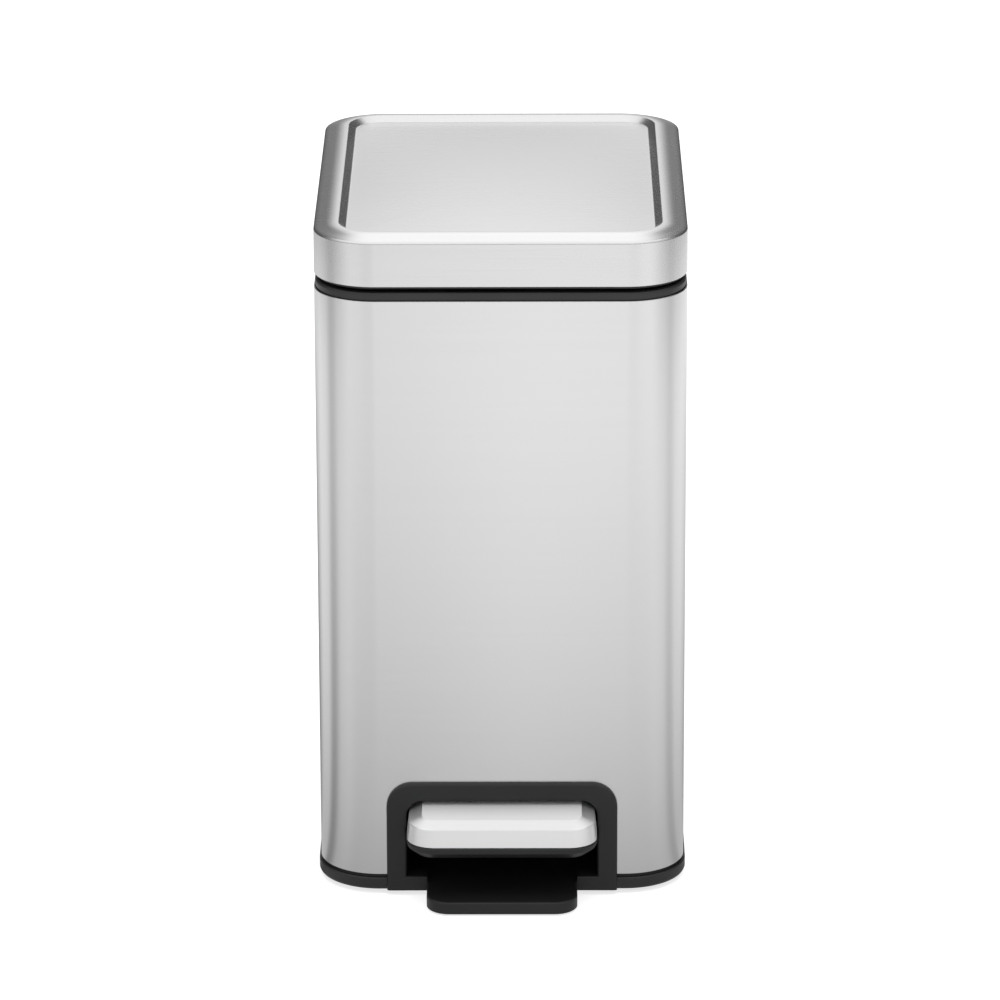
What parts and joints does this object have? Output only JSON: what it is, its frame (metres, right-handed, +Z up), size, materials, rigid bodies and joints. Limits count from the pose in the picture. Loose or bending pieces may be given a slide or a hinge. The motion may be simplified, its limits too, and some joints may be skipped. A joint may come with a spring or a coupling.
{
  "type": "pedal bin",
  "caption": "Slim steel pedal bin with a plastic base and rim, a hinged lid, an inner bucket and a pedal lever that lifts the lid through a push rod.",
  "frame": {"origin": "on the floor, under the middle of the whole outline", "axes": "+Z up, -Y towards the pedal at the front, +X to the right of someone facing +Y"},
  "size_m": [0.202, 0.313, 0.3735],
  "materials": {
    "brushed_steel_skin": "fine brushed, clear coated",
    "black_plastic": "fine moulded texture",
    "grey_rim_plastic": "satin",
    "bucket_plastic": "satin",
    "zinc_plated_steel": "bright zinc plating",
    "rubber": "matte"
  },
  "bodies": {
    "bin": {"axle_clip_left": "zinc_plated_steel", "axle_clip_right": "zinc_plated_steel", "base_tray": "black_plastic", "damper_clamp": "black_plastic", "damper_cylinder": "zinc_plated_steel", "damper_screw_left": "zinc_plated_steel", "damper_screw_right": "zinc_plated_steel", "foot_front_left": "rubber", "foot_front_right": "rubber", "foot_rear_left": "rubber", "foot_rear_right": "rubber", "foot_tongue": "rubber", "guide_screw": "zinc_plated_steel", "hinge_bracket": "black_plastic", "hinge_pin": "zinc_plated_steel", "hinge_pin_clip": "zinc_plated_steel", "hinge_screw_left_high": "zinc_plated_steel", "hinge_screw_left_low": "zinc_plated_steel", "hinge_screw_right_high": "zinc_plated_steel", "hinge_screw_right_low": "zinc_plated_steel", "inner_bucket": "bucket_plastic", "lever_axle": "zinc_plated_steel", "outer_shell": "brushed_steel_skin", "pedal_frame": "black_plastic", "pivot_block_left": "black_plastic", "pivot_block_right": "black_plastic", "pivot_screw_left_front": "zinc_plated_steel", "pivot_screw_left_rear": "zinc_plated_steel", "pivot_screw_right_front": "zinc_plated_steel", "pivot_screw_right_rear": "zinc_plated_steel", "rod_guide": "black_plastic", "top_rim": "grey_rim_plastic"},
    "lid": {"lid_cap": "brushed_steel_skin", "lid_liner": "black_plastic", "hinge_leaf": "black_plastic", "lift_arm": "zinc_plated_steel", "arm_screw_left": "zinc_plated_steel", "arm_screw_right": "zinc_plated_steel", "leaf_screw_left": "zinc_plated_steel", "leaf_screw_right": "zinc_plated_steel", "lid_bumper_front_left": "rubber", "lid_bumper_front_right": "rubber", "lid_bumper_rear_left": "rubber", "lid_bumper_rear_right": "rubber"},
    "pedal": {"pedal_lever": "zinc_plated_steel", "pedal_tray": "black_plastic", "pedal_cap": "brushed_steel_skin", "pedal_screw_left": "zinc_plated_steel", "pedal_screw_right": "zinc_plated_steel"},
    "rod": {"push_rod": "zinc_plated_steel", "rod_clip_low": "zinc_plated_steel", "rod_clip_top": "zinc_plated_steel"},
    "damper": {"damper_stem": "zinc_plated_steel"}
  },
  "joints": [
    {"name": "lid_hinge", "type": "hinge", "parent": "bin", "child": "lid", "pos_m": [0, 0.1505, 0.339], "axis": [-1, 0, 0], "range_deg": [0, 76]},
    {"name": "pedal_pivot", "type": "hinge", "parent": "bin", "child": "pedal", "pos_m": [0, -0.0525, 0.0275], "axis": [1, 0, 0], "range_deg": [0, 10]},
    {"name": "rod_swing", "type": "hinge", "parent": "pedal", "child": "rod", "pos_m": [0, 0.12993, 0.013], "axis": [1, 0, 0], "range_deg": [-10, 0]},
    {"name": "damper_slide", "type": "slide", "parent": "bin", "child": "damper", "axis": [0, 0, 1], "range_m": [0, 0.031]}
  ],
  "couplings": [
    {"joint": "pedal_pivot", "follows": "lid_hinge", "ratio": 0.1315},
    {"joint": "rod_swing", "follows": "lid_hinge", "ratio": -0.1315},
    {"joint": "damper_slide", "follows": "lid_hinge", "m_per_rad": 0.02337}
  ]
}
